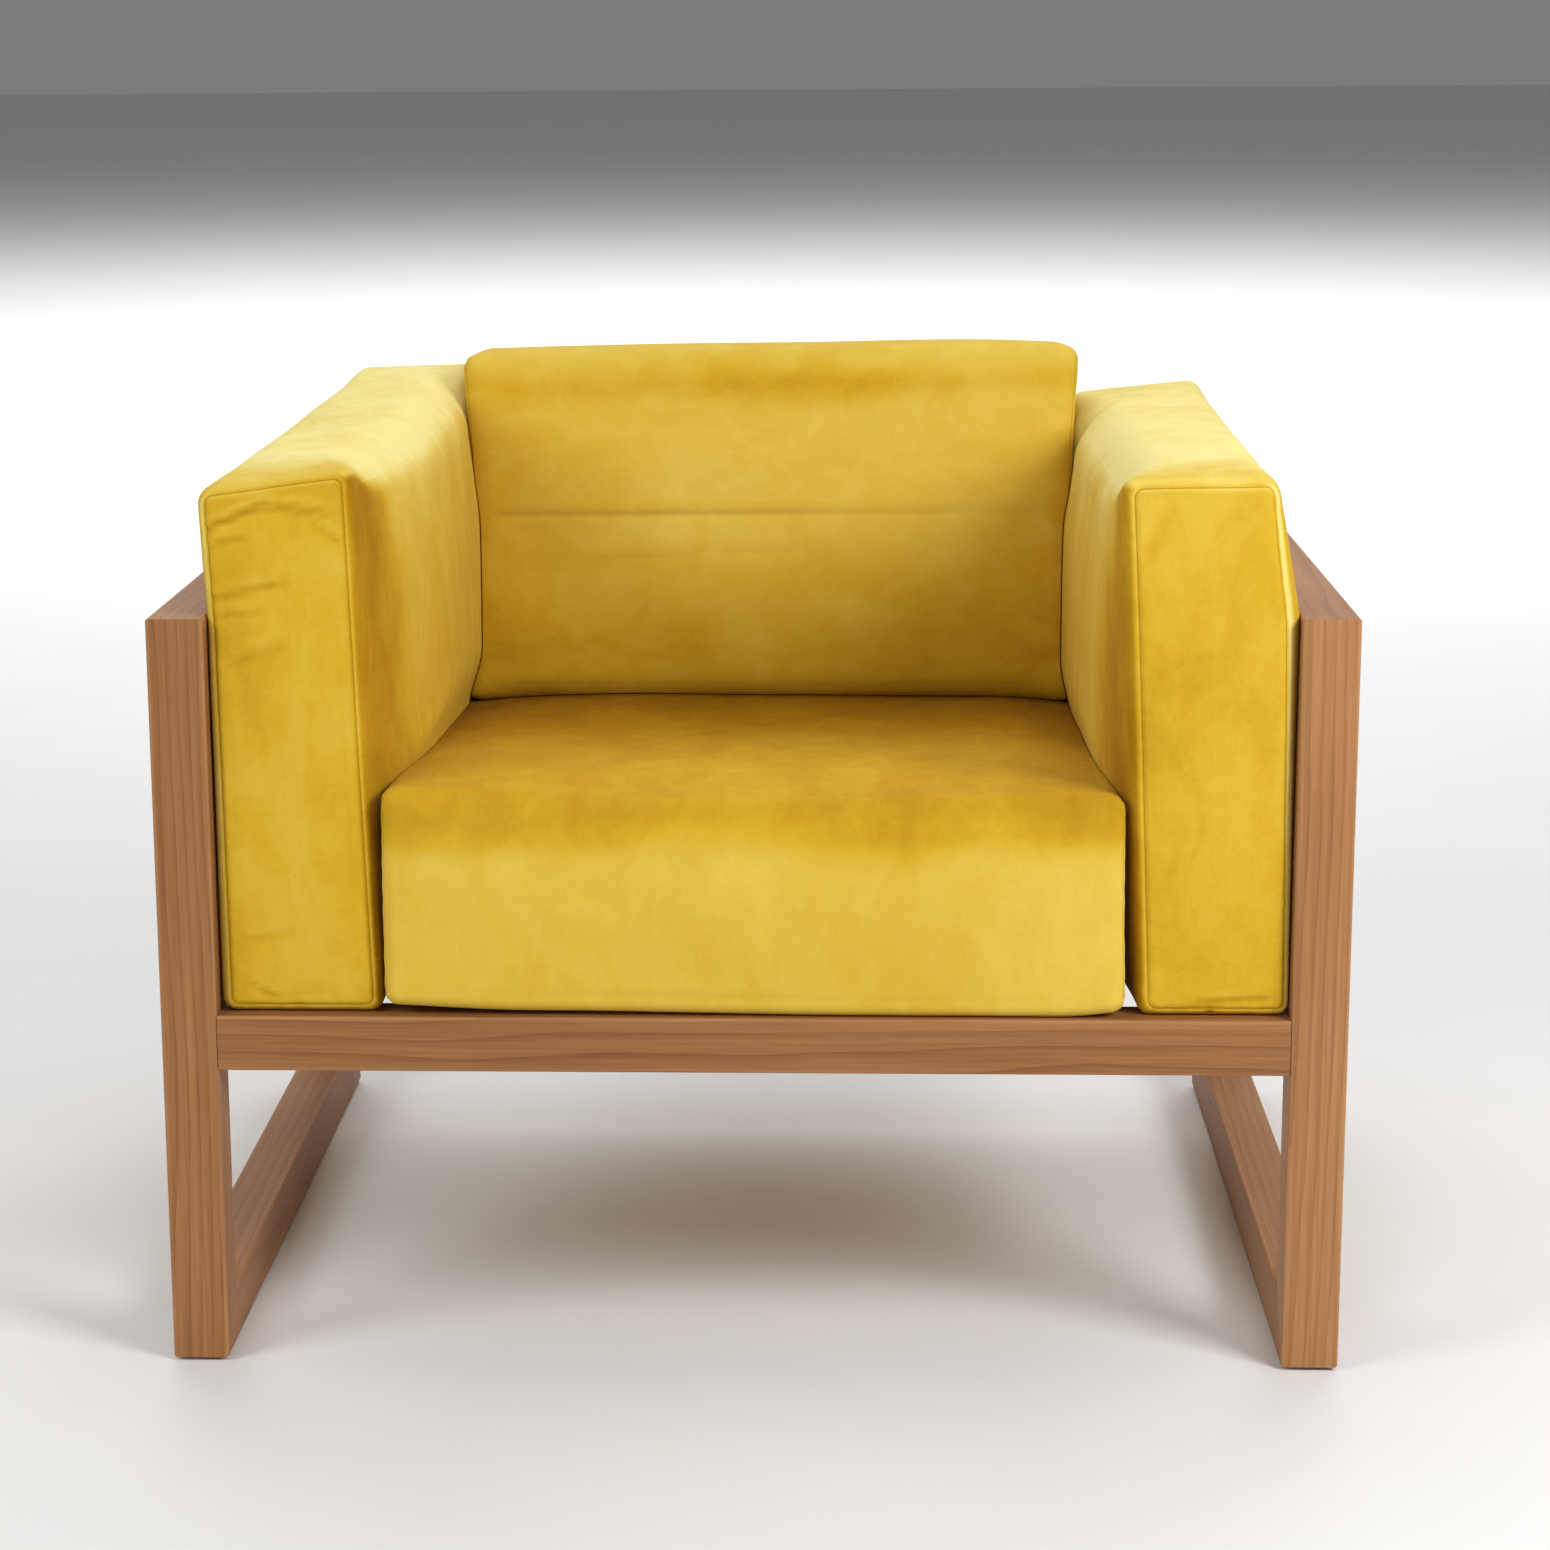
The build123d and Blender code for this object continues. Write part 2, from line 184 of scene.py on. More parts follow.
WANDER = 0.045                           # slow drift of the rings
RIPPLE = 0.0060                          # quick waver of the rings


def wood(node_name, axis, seed, tones=WOOD_TONES, roughness=0.5, shade=0.0):
    """Hardwood for one member: rings round an off-centre pith, fibres, pores and arrises paled by a
    painted highlight.
    """
    material, tree, shader = new_material(f"wood_{node_name}", Coat_Weight=0.04,
                                          Coat_Roughness=0.35, Specular_IOR_Level=0.25)
    draw = np.random.default_rng(seed)
    place = add(tree, "ShaderNodeTexCoord").outputs["Object"]
    split = add(tree, "ShaderNodeSeparateXYZ", {"Vector": place})
    across, up, along = (split.outputs[i] for i in GRAIN_ORDER[axis])
    grain = add(tree, "ShaderNodeCombineXYZ", {"X": across, "Y": up, "Z": along}).outputs[0]
    shift = tuple(draw.uniform(-3, 3, 3))

    wander = noise(tree, scaled(tree, grain, (4, 4, 1.1), shift), 1.0, 3.0, 0.5)
    ripple = noise(tree, scaled(tree, grain, (26, 26, 3.2), shift), 1.0, 4.0, 0.55)
    low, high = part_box(node_name)
    middle = [(low[i] + high[i]) / 2 for i in GRAIN_ORDER[axis]]
    angle = draw.uniform(0, 2 * math.pi)
    pith = draw.uniform(*PITH_OFFSET)
    du = math_node(tree, "SUBTRACT", across, middle[0] + pith * math.cos(angle))
    dv = math_node(tree, "SUBTRACT", up, middle[1] + pith * math.sin(angle))
    squares = math_node(tree, "MULTIPLY_ADD", du, du, math_node(tree, "MULTIPLY", dv, dv))
    radius = math_node(tree, "SQRT", squares)
    radius = math_node(tree, "MULTIPLY_ADD", wander, WANDER, radius)
    radius = math_node(tree, "MULTIPLY_ADD", ripple, RIPPLE, radius)
    ring = math_node(tree, "FRACT", math_node(tree, "MULTIPLY", radius, RINGS_PER_METRE))
    ring = math_node(tree, "POWER", ring, RING_SHARPNESS)

    fibre = noise(tree, scaled(tree, grain, (420, 420, 7), shift), 1.0, 5.0, 0.62)
    streak = noise(tree, scaled(tree, grain, (60, 60, 2.2), shift), 1.0, 4.0, 0.55)
    cloud = noise(tree, scaled(tree, grain, (9, 9, 2.5), shift), 1.0, 2.0, 0.5)
    pore = noise(tree, scaled(tree, grain, (1100, 1100, 45), shift), 1.0, 2.0, 0.5)
    pore = math_node(tree, "SMOOTH_MIN", math_node(tree, "MULTIPLY", pore, 2.3), 1.0, 0.1)

    tone = math_node(tree, "MULTIPLY_ADD", ring, -0.20, 0.20)
    for value, weight in ((fibre, 0.46), (streak, 0.34), (cloud, 0.42)):
        tone = math_node(tree, "MULTIPLY_ADD", value, weight, tone)
    # The shade argument shifts the member's whole tone; on the right front post it is painted
    # light.
    tone = math_node(tree, "SUBTRACT", tone, 0.35 - shade)
    tone = math_node(tree, "MULTIPLY_ADD", pore, 0.14, tone)
    tone = math_node(tree, "SUBTRACT", tone, 0.0, clamp=True)
    colour = ramp(tree, tone, tones)

    edge = None
    for value, i in ((across, 0), (up, 1)):
        half = (high[GRAIN_ORDER[axis][i]] - low[GRAIN_ORDER[axis][i]]) / 2
        away = math_node(tree, "ABSOLUTE", math_node(tree, "SUBTRACT", value, middle[i]))
        near = math_node(tree, "SUBTRACT", away, half)
        edge = near if edge is None else math_node(tree, "MINIMUM", edge, near)
    # Pale band along each arris: a painted highlight where light catches the rounded edges.
    arris_highlight = math_node(tree, "MULTIPLY_ADD", edge, 320.0, 1.15, clamp=True)
    arris_highlight = math_node(tree, "MULTIPLY", arris_highlight, math_node(tree, "MULTIPLY", fibre, 0.75))
    colour = mixed(tree, arris_highlight, colour, tones[-1][1])
    tree.links.new(colour, shader.inputs["Base Color"])
    rough = math_node(tree, "MULTIPLY_ADD", fibre, 0.22, roughness - 0.1)
    tree.links.new(rough, shader.inputs["Roughness"])
    height = math_node(tree, "MULTIPLY_ADD", fibre, 0.6, math_node(tree, "MULTIPLY", pore, 0.8))
    bumped(tree, shader, height, 0.35, 0.0004)
    return material


def metal(name, dark, light, roughness):
    """Plated metal with fine tumbling marks."""
    material, tree, shader = new_material(name, Metallic=1.0)
    place = add(tree, "ShaderNodeTexCoord").outputs["Object"]
    broad = noise(tree, place, 350.0, 4.0, 0.6)
    fine = noise(tree, place, 2600.0, 3.0, 0.6)
    tree.links.new(ramp(tree, broad, ((0.3, dark), (0.7, light))), shader.inputs["Base Color"])
    rough = math_node(tree, "MULTIPLY_ADD", fine, 0.25, roughness - 0.12)
    tree.links.new(rough, shader.inputs["Roughness"])
    bumped(tree, shader, fine, 0.15, 0.0001)
    return material


def nylon():
    """Moulded off-white nylon with a fine spark-eroded texture."""
    material, tree, shader = new_material("nylon", Roughness=0.5, Specular_IOR_Level=0.4)
    place = add(tree, "ShaderNodeTexCoord").outputs["Object"]
    fine = noise(tree, place, 1800.0, 3.0, 0.6)
    cloud = noise(tree, place, 120.0, 3.0)
    shade = ramp(tree, cloud, ((0.3, (0.55, 0.53, 0.47)), (0.7, (0.66, 0.64, 0.58))))
    tree.links.new(shade, shader.inputs["Base Color"])
    bumped(tree, shader, fine, 0.2, 0.0001)
    return material


# Radians per metre of the coil's turns, of its slant, and of the weave across and along the tape.
COIL_TURNS, COIL_SLANT, WEAVE_ACROSS, WEAVE_ALONG = 4200.0, 900.0, 7500.0, 9000.0


def zip_tape(node_name):
    """A closed zip: a coil of teeth down the middle of ribbed, woven tape."""
    material, tree, shader = new_material(f"tape_{node_name}", Roughness=0.7,
                                          Specular_IOR_Level=0.25)
    low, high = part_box(node_name)
    size = [h - l for l, h in zip(low, high)]
    along = size.index(max(size))
    across = sorted(range(3), key=lambda i: size[i])[1]
    place = add(tree, "ShaderNodeTexCoord").outputs["Object"]
    split = add(tree, "ShaderNodeSeparateXYZ", {"Vector": place})
    run, width = split.outputs[along], split.outputs[across]
    middle = (low[across] + high[across]) / 2
    off = math_node(tree, "ABSOLUTE", math_node(tree, "SUBTRACT", width, middle))
    teeth = math_node(tree, "MULTIPLY_ADD", off, -2500.0, 6.5, clamp=True)
    turns = math_node(tree, "MULTIPLY", run, COIL_TURNS)
    coil = math_node(tree, "SINE", math_node(tree, "MULTIPLY_ADD", off, COIL_SLANT, turns))
    rib = math_node(tree, "SINE", math_node(tree, "MULTIPLY", width, WEAVE_ACROSS))
    cross = math_node(tree, "SINE", math_node(tree, "MULTIPLY", run, WEAVE_ALONG))
    weave = math_node(tree, "MULTIPLY", rib, cross)
    cloud = noise(tree, place, 500.0, 3.0)
    tape = ramp(tree, cloud, ((0.3, (0.30, 0.17, 0.010)), (0.7, (0.42, 0.26, 0.022))))
    # The coil is painted dark between its turns and pale on their crowns: painted shade and
    # highlight that follow its relief.
    shaded_coil_colour = ramp(tree, math_node(tree, "MULTIPLY_ADD", coil, 0.5, 0.5),
                     ((0.2, (0.12, 0.065, 0.006)), (0.8, (0.46, 0.31, 0.05))))
    tree.links.new(mixed(tree, teeth, tape, shaded_coil_colour), shader.inputs["Base Color"])
    raised = math_node(tree, "MULTIPLY", teeth, math_node(tree, "MULTIPLY_ADD", coil, 0.5, 1.5))
    bumped(tree, shader, math_node(tree, "MULTIPLY_ADD", weave, 0.25, raised), 0.6, 0.0004)
    return material


def frame_material(name, seed):
    """The material of one CAD node, or None for the covers and foams that the cushions replace."""
    axis = next((a for ending, a in MEMBER_AXES.items() if name.endswith(ending)), None)
    if axis:
        return wood(name, axis, seed, shade=MEMBER_TONE_AND_LIGHT.get(name, 0.0))
    if name.startswith("seat_slat"):
        return wood(name, "Y", seed, PALE_TONES, 0.6)
    if name.startswith("back_slat"):
        return wood(name, "Z", seed, WOOD_TONES, 0.55)
    if name.endswith("cleat"):
        return wood(name, "X", seed, PALE_TONES, 0.6)
    if name in ("corner_tenons", "rail_dowels"):
        return wood(name, "X", seed, PALE_TONES, 0.65)
    if name.endswith("_zip"):
        return zip_tape(name)
    if name.endswith(("_slider", "_pull")):
        return metal(f"metal_{name}", (0.34, 0.30, 0.23), (0.50, 0.45, 0.36), 0.34)
    if name.endswith("screws"):
        return metal(f"metal_{name}", (0.42, 0.42, 0.40), (0.60, 0.60, 0.58), 0.40)
    return nylon() if name == "glides" else None


def finish_frame():
    """Gives every wooden, metal and nylon CAD node its material."""
    for seed, (name, node) in enumerate(sorted(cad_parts.items())):
        material = frame_material(name, seed)
        if material:
            node.data.materials[0] = material


# ======== Velvet ========
# Velvet tones from deep gold, which also serves as painted shade, to pale gold, which also serves
# as painted sheen and top light.
NAP_AND_LIGHT_TONES = ((0.0, (0.190, 0.078, 0.002)), (0.25, (0.400, 0.200, 0.005)),
             (0.50, (0.600, 0.370, 0.022)), (0.75, (0.720, 0.515, 0.085)),
             (1.0, (0.850, 0.750, 0.290)))
# Dark tone of the seam lines, also used as painted shade in the creases and the notch.
SEAM_AND_CREASE_SHADE_TONE = (0.210, 0.098, 0.004)
SHEEN_TINT = (1.0, 0.82, 0.38, 1.0)


def velvet(name, strokes, seed, sheen=0.07, brush=0.12):
    """Short-pile velvet: a point attribute holding the pile's lie with painted light and shade, and
    brushed noise, choose between deep and pale pile.
    """
    material, tree, shader = new_material(name, Roughness=0.85, Specular_IOR_Level=0.06,
                                          Sheen_Weight=sheen, Sheen_Roughness=0.30)
    shader.inputs["Sheen Tint"].default_value = SHEEN_TINT
    place = add(tree, "ShaderNodeTexCoord").outputs["Object"]
    shift = (seed, seed * 1.7, seed * 0.6)
    stroked = scaled(tree, place, strokes, shift)
    broad = noise(tree, stroked, 1.0, 2.0, 0.45, 0.5)
    marks = noise(tree, stroked, 3.1, 3.0, 0.55, 0.8)
    patches = add(tree, "ShaderNodeMapRange",
                  {"Value": marks, "From Min": 0.44, "From Max": 0.60}).outputs[0]
    pile = noise(tree, place, 1100.0, 3.0, 0.6)
    grain = noise(tree, place, 260.0, 3.0, 0.6)
    mottle = noise(tree, place, 38.0, 5.0, 0.68, 0.6)
    # This attribute carries the pile's lie together with painted light, shade and sheen.
    nap_light_and_shade = add(tree, "ShaderNodeAttribute", attribute_name="nap_light_and_shade").outputs["Fac"]
    seam = add(tree, "ShaderNodeAttribute", attribute_name="seam_mm").outputs["Fac"]
    seam = math_node(tree, "ABSOLUTE", seam)
    line = add(tree, "ShaderNodeMapRange", {"Value": seam, "From Min": 0.25, "From Max": 0.85,
                                            "To Min": 0.60, "To Max": 0.0}).outputs[0]
    # This attribute paints shade into the creases and the notch, drawn in the seam's dark tone.
    shaded_crease = add(tree, "ShaderNodeAttribute", attribute_name="shaded_crease").outputs["Fac"]
    line = math_node(tree, "MAXIMUM", line, shaded_crease)
    tone = nap_light_and_shade
    weights = ((broad, brush * 2.2), (patches, brush * 0.38), (mottle, 0.16), (pile, 0.10),
               (grain, 0.07))
    for value, weight in weights:
        centred = math_node(tree, "SUBTRACT", value, 0.5)
        tone = math_node(tree, "MULTIPLY_ADD", centred, weight, tone)
    colour = mixed(tree, line, ramp(tree, tone, NAP_AND_LIGHT_TONES), SEAM_AND_CREASE_SHADE_TONE)
    tree.links.new(colour, shader.inputs["Base Color"])
    height = math_node(tree, "MULTIPLY_ADD", grain, 0.8, pile)
    bumped(tree, shader, height, 0.22, 0.0004)
    return material


# ======== Cushion meshes ========
def stations(half, mesh):
    """Mesh lines along one axis, close together near both ends."""
    fine, zone, coarse = mesh
    near = np.arange(0, zone, fine)
    count = max(2, round(2 * (half - zone) / coarse))
    middle = np.linspace(-half + zone, half - zone, count + 1)
    return np.concatenate([-half + near, middle, (half - near)[::-1]])


def quads(sheet, flip):
    """Faces between neighbouring entries of a two-way array of vertex numbers."""
    corners = np.stack([sheet[:-1, :-1], sheet[1:, :-1], sheet[1:, 1:], sheet[:-1, 1:]], axis=-1)
    corners = corners.reshape(-1, 4)
    return corners[:, ::-1] if flip else corners


def box_lattice(half, mesh):
    """A closed box of square mesh round the origin: its lines, vertex numbers, points and faces."""
    lines = [stations(h, mesh) for h in half]
    skin = np.ones([len(line) for line in lines], bool)
    skin[1:-1, 1:-1, 1:-1] = False
    number = np.full(skin.shape, -1)
    number[skin] = np.arange(skin.sum())
    points = np.stack([lines[axis][i] for axis, i in enumerate(np.nonzero(skin))], axis=-1)
    faces = []
    for axis, flip_low in ((0, True), (1, False), (2, True)):
        for end, flip in ((0, flip_low), (-1, not flip_low)):
            faces.append(quads(np.take(number, end, axis=axis), flip))
    return lines, number, points, np.concatenate(faces)


def rounded(points, half, radius):
    """The box's points with every edge rounded by a radius that may differ from point to point."""
    radius = np.broadcast_to(radius, len(points))[:, None]
    core = np.clip(points, -half + radius, half - radius)
    away = points - core
    length = np.maximum(np.linalg.norm(away, axis=1, keepdims=True), 1e-9)
    return core + away * radius / length


def smooth(x):
    """A soft step from 0 to 1 while x goes from 0 to 1."""
    x = np.clip(x, 0, 1)
    return x * x * (3 - 2 * x)


def blend(a, b, share):
    """The value a share of the way from a to b."""
    return a + (b - a) * share


def bell(x, width):
    """A soft peak of 1 at x = 0."""
    return np.exp(-((x / width) ** 2))


def waves(points, seed, wavelength, count=6):
    """Smooth uneven values from about -1 to 1, from waves in several directions."""
    draw = np.random.default_rng(seed)
    total = np.zeros(len(points))
    for _ in range(count):
        way = draw.normal(size=3)
        way /= np.linalg.norm(way)
        length = wavelength * draw.uniform(0.6, 1.7)
        total += np.sin(2 * math.pi * (points @ way) / length + draw.uniform(0, 2 * math.pi))
    return total / math.sqrt(count * 2)


def make_object(name, points, faces):
    """A smooth-shaded mesh object."""
    mesh = bpy.data.meshes.new(name)
    mesh.from_pydata(points.tolist(), [], faces.tolist())
    mesh.shade_smooth()
    piece = bpy.data.objects.new(name, mesh)
    bpy.context.scene.collection.objects.link(piece)
    return piece


def read_points(mesh):
    """The mesh's vertices as an array."""
    flat = np.empty(len(mesh.vertices) * 3)
    mesh.vertices.foreach_get("co", flat)
    return flat.reshape(-1, 3)


def normals_of(points, faces):
    """The direction of the surface at every vertex."""
    p = points[faces]
    face_normals = np.cross(p[:, 2] - p[:, 0], p[:, 3] - p[:, 1])
    total = np.zeros_like(points)
    for corner in range(4):
        for axis in range(3):
            total[:, axis] += np.bincount(faces[:, corner], face_normals[:, axis], len(points))
    return total / np.maximum(np.linalg.norm(total, axis=1, keepdims=True), 1e-12)


def relaxed(values, faces, rounds):
    """Values at the vertices, evened out with their neighbours' values."""
    starts = np.concatenate([faces, faces]).ravel()
    ends = np.concatenate([np.roll(faces, 1, axis=1), np.roll(faces, -1, axis=1)]).ravel()
    count = np.bincount(starts, minlength=len(values))[:, None]
    for _ in range(rounds):
        columns = [np.bincount(starts, column[ends], len(values)) for column in values.T]
        values = 0.5 * values + 0.5 * np.stack(columns, axis=-1) / count
    return values


def inflate(name, half, radius):
    """How far each point of a trial cover moves when a cloth simulation blows it up."""
    lines, number, points, faces = box_lattice(half, TRIAL_MESH)
    start = rounded(points, half, radius(points))
    piece = make_object(f"{name}_trial", start, faces)
    modifier = piece.modifiers.new("Cloth", "CLOTH")
    for key, value in CLOTH.items():
        setattr(modifier.settings, key, value)
    modifier.settings.effector_weights.gravity = 0
    modifier.point_cache.frame_start = 1
    modifier.point_cache.frame_end = CLOTH_FRAMES
    scene = bpy.context.scene
    for frame_number in range(1, CLOTH_FRAMES + 1):
        scene.frame_set(frame_number)
    shown = piece.evaluated_get(bpy.context.evaluated_depsgraph_get())
    moved = read_points(shown.data) - start
    mesh = piece.data
    bpy.data.objects.remove(piece)
    bpy.data.meshes.remove(mesh)
    scene.frame_set(1)
    moved = np.where(moved * points < 0, PULL_IN * moved, moved)
    length = np.linalg.norm(moved, axis=1)
    return lines, number, relaxed(moved * min(1.0, SWELL / length.max()), faces, 4)


def carry_over(lines, number, moved, points, half):
    """The trial cover's movement, read off at the points of a finer cover of the same box."""
    result = np.zeros_like(points)
    for axis in range(3):
        across = [i for i in range(3) if i != axis]
        for end in (0, -1):
            on_face = np.isclose(points[:, axis], half[axis] * (1 if end else -1))
            sheet = moved[np.take(number, end, axis=axis)]
            cell, part = [], []
            for i in across:
                place = points[on_face, i]
                line = lines[i]
                low = np.clip(np.searchsorted(line, place) - 1, 0, len(line) - 2)
                cell.append(low)
                part.append(((place - line[low]) / (line[low + 1] - line[low]))[:, None])
            (u, v), (s, t) = cell, part
            near = blend(sheet[u, v], sheet[u + 1, v], s)
            far = blend(sheet[u, v + 1], sheet[u + 1, v + 1], s)
            result[on_face] = blend(near, far, t)
    return result


def stuffed(name, half, radius):
    """A filled cover round the origin: its points on the plain box, its points, and its faces."""
    trial = inflate(name, half, radius)
    _, _, lattice, faces = box_lattice(half, SHOWN_MESH)
    moved = relaxed(carry_over(*trial, lattice, half), faces, 30)
    return lattice, rounded(lattice, half, radius(lattice)) + moved, faces


def panel_distance(lattice, half, axis, end, corner, shift):
    """Distance along the cloth from the seam round one end panel, negative inside the panel."""
    others = [i for i in range(3) if i != axis]
    shifts = (shift, 0.0)
    reach = [half[i] - SEAM_INSET - corner for i in others]
    over = [np.abs(lattice[:, i] - s) - r for i, s, r in zip(others, shifts, reach)]
    outside = np.hypot(np.maximum(over[0], 0), np.maximum(over[1], 0))
    inside = np.minimum(np.maximum(over[0], over[1]), 0)
    return outside + inside - corner + half[axis] - end * lattice[:, axis]


def line_distance(points, start, end):
    """Distance from each 2-D point to the line between two places, and the share along it."""
    start, way = np.array(start), np.array(end) - np.array(start)
    share = np.clip((points - start) @ way / (way @ way), 0, 1)
    return np.linalg.norm(points - start - share[:, None] * way, axis=1), share


def fold(points, start, end, width, depth):
    """Push of a soft crease with a raised lip on one side, fading out at its ends."""
    distance, share = line_distance(points, start, end)
    way = np.array(end) - np.array(start)
    side = (points - np.array(start)) @ np.array([-way[1], way[0]]) / np.linalg.norm(way)
    fade = smooth(share / 0.3) * smooth((1 - share) / 0.3)
    fade = np.maximum(fade, 0)
    lip = bell(side - 1.5 * width, width) * bell(np.maximum(distance - 2.5 * width, 0), width)
    return depth * fade * (0.7 * lip - bell(distance, width))


def puckers(along, seed, wavelength=0.019):
    """Uneven gathers along a seam, from -1 to 1."""
    draw = np.random.default_rng(seed)
    total = np.zeros_like(along)
    for step in range(5):
        phase = draw.uniform(0, 2 * math.pi)
        total += np.sin(2 * math.pi * along / (wavelength * (1 + 0.45 * step)) + phase) / (1 + step)
    return total / 2.3


def sewn(points, faces, seams, seed):
    """Presses seam lines into the cover, with the cloth puffed and gathered beside them."""
    push = np.zeros(len(points))
    nearest = np.full(len(points), 0.05)
    for number, (distance, along) in enumerate(seams):
        groove = bell(distance, SEAM_WIDTH)
        roll = bell(np.abs(distance) - ROLL_PLACE, ROLL_WIDTH)
        gather = puckers(along, seed + number) * bell(distance, GATHER_WIDTH)
        push += -SEAM_DEPTH * groove + ROLL_HEIGHT * roll + GATHER_HEIGHT * gather
        nearest = np.where(np.abs(distance) < np.abs(nearest), distance, nearest)
    return points + normals_of(points, faces) * push[:, None], nearest * 1000


# ======== Stage ========
def camera():
    """The camera at the photograph's viewing angle."""
    data = bpy.data.cameras.new("camera")
    data.lens = CAMERA_LENS
    data.sensor_width = 36.0
    data.shift_x, data.shift_y = CAMERA_SHIFT
    data.clip_end = 100.0
    place = bpy.data.objects.new("camera", data)
    place.location = CAMERA_PLACE
    place.rotation_euler = [math.radians(a) for a in CAMERA_TURN]
    bpy.context.scene.collection.objects.link(place)
    bpy.context.scene.camera = place


def area_light(name, place, aim, size, power):
    """A soft white square lamp that points at a place."""
    data = bpy.data.lights.new(name, "AREA")
    data.shape = "SQUARE"
    data.size = size
    data.energy = power
    lamp = bpy.data.objects.new(name, data)
    lamp.location = place
    direction = np.array(aim) - np.array(place)
    flat = math.hypot(direction[0], direction[1])
    turn = math.atan2(-direction[0], direction[1])
    lamp.rotation_euler = (math.atan2(flat, -direction[2]), 0, turn)
    bpy.context.scene.collection.objects.link(lamp)


def stage():
    """A pale floor, a dim white surrounding and soft lamps."""
    floor_points = np.array([(-20, -8, 0), (20, -8, 0), (20, 60, 0), (-20, 60, 0)], float)
    floor = make_object("floor", floor_points, np.array([[0, 1, 2, 3]]))
    material, tree, shader = new_material("floor_paint", Roughness=0.9, Specular_IOR_Level=0.1)
    place = add(tree, "ShaderNodeTexCoord").outputs["Object"]
    cloud = noise(tree, place, 3.0, 3.0)
    shade = ramp(tree, cloud, ((0.3, (0.80, 0.80, 0.80)), (0.7, (0.82, 0.82, 0.82))))
    tree.links.new(shade, shader.inputs["Base Color"])
    floor.data.materials.append(material)
    world = bpy.data.worlds.new("studio")
    world.use_nodes = True
    background = world.node_tree.nodes["Background"]
    background.inputs["Color"].default_value = (1.0, 1.0, 1.0, 1.0)
    background.inputs["Strength"].default_value = 0.20
    bpy.context.scene.world = world
    for lamp in LAMPS:
        area_light(*lamp)
    bpy.context.scene.view_settings.view_transform = "Standard"


# ======== The cushions ========
def centre_and_half(node):
    """The middle and the half size of a CAD node."""
    low, high = (np.array(corner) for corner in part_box(node))
    return (low + high) / 2, (high - low) / 2


def place_cushion(name, points, faces, material, seam, nap_light_and_shade, shaded_crease=0.0):
    piece = make_object(f"{name}_velvet", points, faces)
    shaded_crease = np.broadcast_to(shaded_crease, len(points))
    for attribute, values in (("seam_mm", seam), ("nap_light_and_shade", nap_light_and_shade), ("shaded_crease", shaded_crease)):
        layer = piece.data.attributes.new(attribute, "FLOAT", "POINT")
        layer.data.foreach_set("value", values.astype(np.float32))
    piece.data.materials.append(material)
    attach(piece, name)
    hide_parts(f"{name}_cover", f"{name}_foam")


def settled(points):
    """Keeps an arm cushion on the rail, inside the posts and clear of what stands behind it."""
    points[:, 2] = np.maximum(points[:, 2], RAIL_TOP + ON_RAIL)
    points[:, 1] = np.minimum(points[:, 1], REAR_FACE - KEEP_CLEAR)
    limit = POST_FACE - KEEP_CLEAR + np.maximum(points[:, 2] - LOOP_TOP - OVER_RAIL, 0)
    points[:, 0] = np.clip(points[:, 0], -limit, limit)


def drawn_to_zip(points, zip_node):
    """Draws a cushion's rear face in to its zip, so that the tape and slider stay in view."""
    low, high = (np.array(corner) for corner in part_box(zip_node))
    off = np.maximum(np.maximum(low - points, points - high), 0)
    distance = np.hypot(off[:, 0], off[:, 2])
    clear = 0.03 * smooth((distance - 0.003) / 0.05)
    points[:, 1] = np.minimum(points[:, 1], high[1] - ZIP_PROUD + clear)


def kept_off(points, neighbour, origin, way):
    """Flattens a cushion against a neighbour, looked for along way from the plane at origin."""
    mesh = bpy.data.objects[f"{neighbour}_velvet"].data
    corners = [tuple(polygon.vertices) for polygon in mesh.polygons]
    tree = BVHTree.FromPolygons(read_points(mesh).tolist(), corners)
    axis = int(np.argmax(np.abs(way)))
    for index in range(len(points)):
        start = points[index].copy()
        start[axis] = origin
        place = tree.ray_cast(start.tolist(), way)[0]
        if place is not None:
            limit = place[axis] - PRESSED_GAP * way[axis]
            if (points[index, axis] - limit) * way[axis] > 0:
                points[index, axis] = limit


def between_arms(points):
    """Flattens a cushion's sides against both arm cushions."""
    kept_off(points, "left_arm_cushion", 0.0, (-1, 0, 0))
    kept_off(points, "right_arm_cushion", 0.0, (1, 0, 0))


def end_seams(lattice, half, axis, corner=0.008, shift=0.0):
    """The seams round both end panels, each as distance from it and length along it."""
    others = [i for i in range(3) if i != axis]
    along = lattice[:, others[0]] + lattice[:, others[1]]
    return [(panel_distance(lattice, half, axis, end, corner, shift), along) for end in (-1, 1)]


# Places on an arm cushion, with x as the distance from the chair's middle.
NOTCH = (0.363, 0.361)                   # x of the notch's lower and upper end on the front panel
NOTCH_HEIGHT, NOTCH_WIDTH, NOTCH_DEPTH = 0.007, 0.0014, 0.0015
DENT = ((0.270, 0.183), (0.335, 0.245))  # x and y of the dent that the back cushion's corner makes
DENT_WIDTH, DENT_DEPTH = 0.010, 0.007


def arm_radius(lattice, half, side):
    """Edge radius of an arm cushion: soft along the inner top edge, tight round both end panels."""
    inner = smooth(0.5 - side * lattice[:, 0] / half[0])
    outer = smooth(0.5 + side * lattice[:, 0] / half[0])
    upper = smooth(lattice[:, 2] / half[2])
    lower = smooth(-lattice[:, 2] / half[2])
    far = smooth((half[1] - np.abs(lattice[:, 1])) / 0.14)
    soft = 0.004 + 0.034 * (inner * upper) + 0.012 * (inner * lower)
    return 0.010 + 0.005 * (outer * upper) + far * soft


